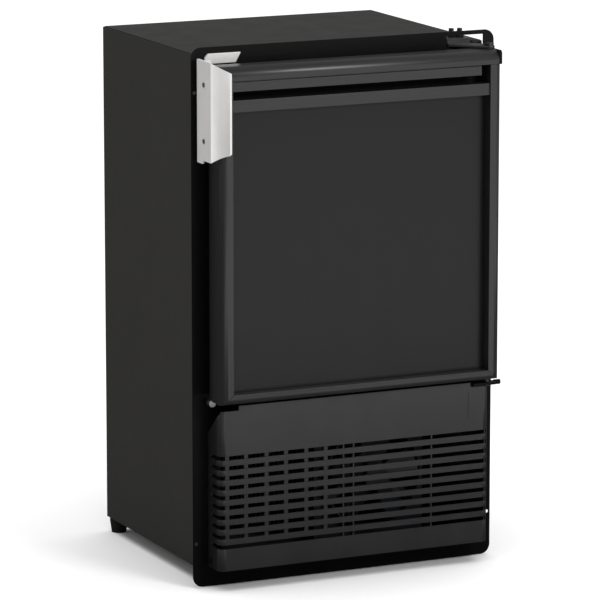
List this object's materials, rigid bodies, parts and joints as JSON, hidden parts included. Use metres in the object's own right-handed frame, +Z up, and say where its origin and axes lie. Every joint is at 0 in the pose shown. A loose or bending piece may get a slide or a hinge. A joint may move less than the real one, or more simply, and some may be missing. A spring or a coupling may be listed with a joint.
{
  "type": "ice maker",
  "caption": "Black flange-mounted crescent ice maker: framed swing door with a satin lip handle, ice module over a lift-out bin, and a refrigeration deck behind a slotted grille.",
  "frame": {"origin": "centre of the whole object's footprint, on the floor plane under the feet", "axes": "+X to the right seen from the front, +Y towards the back, +Z up; the door faces -Y"},
  "size_m": [0.388, 0.369, 0.637],
  "materials": {
    "black_cabinet": "fine-textured black enamel on sheet steel",
    "black_flange": "satin black enamel on steel plate",
    "black_trim": "black anodised aluminium extrusion",
    "black_panel": "smooth satin black panel",
    "black_plastic": "moulded black plastic",
    "deep_black": "matt black plastic",
    "handle_metal": "satin clear-anodised aluminium",
    "white_liner": "vacuum-formed white plastic",
    "white_bin": "moulded white plastic",
    "foam": "rigid foamed insulation",
    "gasket_rubber": "soft magnetic door seal",
    "foot_rubber": "moulded rubber over a steel stem",
    "zinc_steel": "zinc-plated steel",
    "dark_steel": "black-oxide steel",
    "hinge_steel": "painted steel plate",
    "compressor_black": "black enamelled steel shell",
    "condenser_metal": "aluminium fins on tube",
    "copper": "copper tube",
    "fan_plastic": "blue-grey moulded plastic",
    "motor_metal": "steel motor can",
    "mould_metal": "die-cast aluminium",
    "white_plastic": "moulded white plastic",
    "gear_plastic": "natural acetal",
    "wire_metal": "plated wire"
  },
  "bodies": {
    "cabinet": {"cabinet_wrap": "black_cabinet", "top_panel": "black_cabinet", "base_pan": "black_cabinet", "foam_insulation": "foam", "inner_liner": "white_liner", "front_flange": "black_flange", "rear_cover": "black_cabinet", "keeper_plate": "handle_metal", "top_hinge_plate": "hinge_steel", "bottom_hinge_bracket": "black_flange", "hinge_pins": "dark_steel", "hinge_bolts": "dark_steel", "spare_hinge_plug": "zinc_steel", "front_grille": "black_plastic", "grille_screws": "dark_steel", "compressor": "compressor_black", "compressor_mounts": "foot_rubber", "terminal_cover": "black_plastic", "condenser": "condenser_metal", "fan_shroud": "fan_plastic", "fan_motor": "motor_metal", "filter_drier": "copper", "refrigerant_lines": "copper", "water_valve": "white_plastic", "fill_line": "white_plastic", "cord_gland": "deep_black", "ice_mould": "mould_metal", "evaporator_coil": "copper", "stripper": "white_plastic", "drive_housing": "white_plastic", "drive_cover": "white_plastic", "drive_motor": "motor_metal", "fill_cup": "white_plastic"},
    "door": {"door_pan": "black_plastic", "door_liner": "white_liner", "door_core": "foam", "door_gasket": "gasket_rubber", "left_stile": "black_trim", "right_stile": "black_trim", "top_rail": "black_trim", "bottom_rail": "black_trim", "mid_rail": "black_trim", "header_strip": "black_trim", "recess_channel": "deep_black", "door_panel": "black_panel", "rail_end_caps": "deep_black", "door_bushes": "white_plastic", "handle": "handle_metal", "handle_screws": "zinc_steel"},
    "rake": {"ejector_rake": "white_plastic", "rake_gear": "gear_plastic"},
    "pinion": {"motor_pinion": "gear_plastic"},
    "bail": {"bail_arm": "wire_metal"},
    "fan": {"fan_blade": "fan_plastic"},
    "bin": {"ice_bin": "white_bin"},
    "foot_front_left": {"foot_front_left": "foot_rubber"},
    "foot_front_right": {"foot_front_right": "foot_rubber"},
    "foot_rear_left": {"foot_rear_left": "foot_rubber"},
    "foot_rear_right": {"foot_rear_right": "foot_rubber"}
  },
  "joints": [
    {"name": "door_swing", "type": "hinge", "parent": "cabinet", "child": "door", "pos_m": [0.1725, -0.1535, 0.4], "axis": [0, 0, 1], "range_deg": [0, 120]},
    {"name": "ejector_spin", "type": "hinge", "parent": "cabinet", "child": "rake", "pos_m": [-0.022, 0.0765, 0.545], "axis": [1, 0, 0], "continuous": true},
    {"name": "pinion_spin", "type": "hinge", "parent": "cabinet", "child": "pinion", "pos_m": [0.1, 0.0465, 0.545], "axis": [1, 0, 0], "continuous": true},
    {"name": "bail_swing", "type": "hinge", "parent": "cabinet", "child": "bail", "pos_m": [-0.022, 0.0265, 0.524], "axis": [-1, 0, 0], "range_deg": [0, 35]},
    {"name": "fan_spin", "type": "hinge", "parent": "cabinet", "child": "fan", "pos_m": [0.06, -0.0835, 0.1], "axis": [0, -1, 0], "continuous": true},
    {"name": "bin_slide", "type": "slide", "parent": "cabinet", "child": "bin", "axis": [0, -1, 0], "range_m": [0, 0.018]},
    {"name": "foot_front_left_level", "type": "slide", "parent": "cabinet", "child": "foot_front_left", "axis": [0, 0, -1], "range_m": [0, 0.01]},
    {"name": "foot_front_right_level", "type": "slide", "parent": "cabinet", "child": "foot_front_right", "axis": [0, 0, -1], "range_m": [0, 0.01]},
    {"name": "foot_rear_left_level", "type": "slide", "parent": "cabinet", "child": "foot_rear_left", "axis": [0, 0, -1], "range_m": [0, 0.01]},
    {"name": "foot_rear_right_level", "type": "slide", "parent": "cabinet", "child": "foot_rear_right", "axis": [0, 0, -1], "range_m": [0, 0.01]}
  ],
  "couplings": [
    {"joint": "pinion_spin", "follows": "ejector_spin", "ratio": -3}
  ]
}
